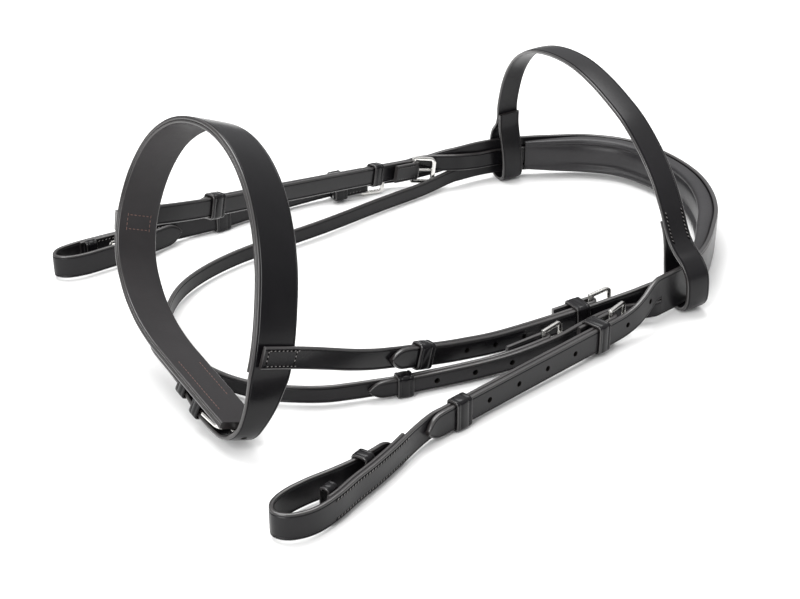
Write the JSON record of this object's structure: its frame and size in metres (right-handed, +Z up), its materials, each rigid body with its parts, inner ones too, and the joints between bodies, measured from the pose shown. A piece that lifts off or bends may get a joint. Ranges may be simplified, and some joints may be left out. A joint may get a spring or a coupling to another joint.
{
  "type": "snaffle bridle",
  "caption": "Black leather snaffle bridle: padded headpiece with throatlash, browband, cheekpieces with bit loops, and a broad noseband on its own sliphead, laid open with its straps on edge.",
  "frame": {"origin": "centre of the bounding box in plan, on the surface the bridle lies on", "axes": "+X runs from the bit loops towards the crown, +Y from the near (left) cheek to the far cheek, +Z up"},
  "size_m": [0.4834, 0.3613, 0.1575],
  "materials": {
    "leather": "dyed and lightly polished, raised edges burnished",
    "lining": "matte, smooth lining leather",
    "padding": "soft glove leather over foam, satin",
    "metal": "polished stainless"
  },
  "bodies": {
    "straps": {"headpiece": "leather", "near_cheek_point": "leather", "near_throat_point": "leather", "far_cheek_point": "leather", "throatlash": "leather", "poll_pad": "padding", "sliphead": "leather", "browband": "leather", "noseband": "leather", "noseband_lining": "lining", "chin_chape": "leather", "chin_keeper_upper": "leather", "chin_keeper_lower": "leather", "near_nose_strap": "leather", "near_nose_keeper": "leather", "far_nose_strap": "leather", "far_nose_keeper": "leather", "near_cheekpiece": "leather", "near_cheek_backing": "leather", "near_cheek_keeper": "leather", "near_billet_keeper": "leather", "near_bit_keeper": "leather", "near_hook_stud": "metal", "far_cheekpiece": "leather", "far_cheek_backing": "leather", "far_cheek_keeper": "leather", "far_billet_keeper": "leather", "far_bit_keeper": "leather", "far_hook_stud": "metal"},
    "near_nose_frame": {"near_nose_buckle": "metal"},
    "near_nose_pin": {"near_nose_tongue": "metal"},
    "near_cheek_frame": {"near_cheek_buckle": "metal"},
    "near_cheek_pin": {"near_cheek_tongue": "metal"},
    "throat_frame": {"throat_buckle": "metal"},
    "throat_pin": {"throat_tongue": "metal"},
    "far_nose_frame": {"far_nose_buckle": "metal"},
    "far_nose_pin": {"far_nose_tongue": "metal"},
    "far_cheek_frame": {"far_cheek_buckle": "metal"},
    "far_cheek_pin": {"far_cheek_tongue": "metal"},
    "chin_frame": {"chin_buckle": "metal"},
    "chin_pin": {"chin_tongue": "metal"},
    "near_nose_runner": {"near_nose_runner": "leather"},
    "far_nose_runner": {"far_nose_runner": "leather"},
    "near_cheek_runner": {"near_cheek_runner": "leather"},
    "far_cheek_runner": {"far_cheek_runner": "leather"},
    "throat_runner": {"throat_runner": "leather"}
  },
  "joints": [
    {"name": "near_nose_frame_hinge", "type": "hinge", "parent": "straps", "child": "near_nose_frame", "pos_m": [0.04655, -0.09565, 0.0112], "axis": [-0.084, 0.0151, 0.9963], "range_deg": [0, 40]},
    {"name": "near_nose_tongue_hinge", "type": "hinge", "parent": "near_nose_frame", "child": "near_nose_pin", "pos_m": [0.04655, -0.09565, 0.0112], "axis": [-0.084, 0.0151, 0.9963], "range_deg": [-9, 0]},
    {"name": "near_cheek_frame_hinge", "type": "hinge", "parent": "straps", "child": "near_cheek_frame", "pos_m": [0.03765, -0.12272, 0.0127], "axis": [-0.0156, -0.0018, 0.9999], "range_deg": [0, 20]},
    {"name": "near_cheek_tongue_hinge", "type": "hinge", "parent": "near_cheek_frame", "child": "near_cheek_pin", "pos_m": [0.03765, -0.12272, 0.0127], "axis": [-0.0156, -0.0018, 0.9999], "range_deg": [-8, 0]},
    {"name": "throat_frame_hinge", "type": "hinge", "parent": "straps", "child": "throat_frame", "pos_m": [-0.00587, -0.1098, 0.0097], "axis": [-0.0438, 0.0018, 0.999], "range_deg": [0, 28]},
    {"name": "throat_tongue_hinge", "type": "hinge", "parent": "throat_frame", "child": "throat_pin", "pos_m": [-0.00587, -0.1098, 0.0097], "axis": [-0.0438, 0.0018, 0.999], "range_deg": [-6, 0]},
    {"name": "far_nose_frame_hinge", "type": "hinge", "parent": "straps", "child": "far_nose_frame", "pos_m": [0.08282, 0.13801, 0.0205], "axis": [0.1904, 0.0521, 0.9803], "range_deg": [0, 2]},
    {"name": "far_nose_tongue_hinge", "type": "hinge", "parent": "far_nose_frame", "child": "far_nose_pin", "pos_m": [0.08282, 0.13801, 0.0205], "axis": [0.1904, 0.0521, 0.9803], "range_deg": [0, 2]},
    {"name": "far_cheek_frame_hinge", "type": "hinge", "parent": "straps", "child": "far_cheek_frame", "pos_m": [0.04948, 0.15884, 0.0123], "axis": [-0.0178, 0.003, 0.9998], "range_deg": [-40, 0]},
    {"name": "far_cheek_tongue_hinge", "type": "hinge", "parent": "far_cheek_frame", "child": "far_cheek_pin", "pos_m": [0.04948, 0.15884, 0.0123], "axis": [-0.0178, 0.003, 0.9998], "range_deg": [0, 7]},
    {"name": "chin_frame_hinge", "type": "hinge", "parent": "straps", "child": "chin_frame", "pos_m": [-0.21081, -0.0665, 0.0131], "axis": [0.9336, 0, -0.3584], "range_deg": [0, 1.5]},
    {"name": "chin_tongue_hinge", "type": "hinge", "parent": "chin_frame", "child": "chin_pin", "pos_m": [-0.21081, -0.0665, 0.0131], "axis": [0.9336, 0, -0.3584], "range_deg": [0, 0.5]},
    {"name": "near_nose_runner_slide", "type": "slide", "parent": "straps", "child": "near_nose_runner", "axis": [0.9836, -0.1641, 0.0747], "range_m": [-0.008, 0.002]},
    {"name": "far_nose_runner_slide", "type": "slide", "parent": "straps", "child": "far_nose_runner", "axis": [0.945, 0.26, -0.1986], "range_m": [-0.03, 0.01]},
    {"name": "near_cheek_runner_slide", "type": "slide", "parent": "straps", "child": "near_cheek_runner", "axis": [0.9935, 0.1129, 0.0158], "range_m": [-0.04, 0.006]},
    {"name": "far_cheek_runner_slide", "type": "slide", "parent": "straps", "child": "far_cheek_runner", "axis": [0.9871, -0.1588, 0.0203], "range_m": [-0.018, 0.008]},
    {"name": "throat_runner_slide", "type": "slide", "parent": "straps", "child": "throat_runner", "axis": [0.9566, -0.2916, 0], "range_m": [-0.004, 0.001]}
  ]
}
